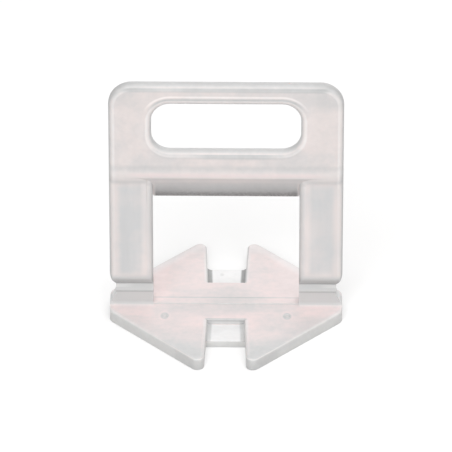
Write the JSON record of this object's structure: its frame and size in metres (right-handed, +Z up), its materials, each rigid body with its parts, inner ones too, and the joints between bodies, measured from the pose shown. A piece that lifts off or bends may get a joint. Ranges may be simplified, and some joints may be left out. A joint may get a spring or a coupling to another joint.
{
  "type": "tile levelling clip",
  "caption": "Moulded tile levelling clip: slotted handle plate, crossbar and legs around a wedge window, thin break necks and a flat arrow-ended base.",
  "frame": {"origin": "middle of the base's underside, on the floor", "axes": "+Z up along the legs to the handle, X across the frame, Y from point to point of the base"},
  "size_m": [0.038, 0.035, 0.0437],
  "materials": {
    "plastic": "satin, milky and slightly translucent"
  },
  "bodies": {
    "root": {"clip": "plastic"}
  },
  "joints": []
}
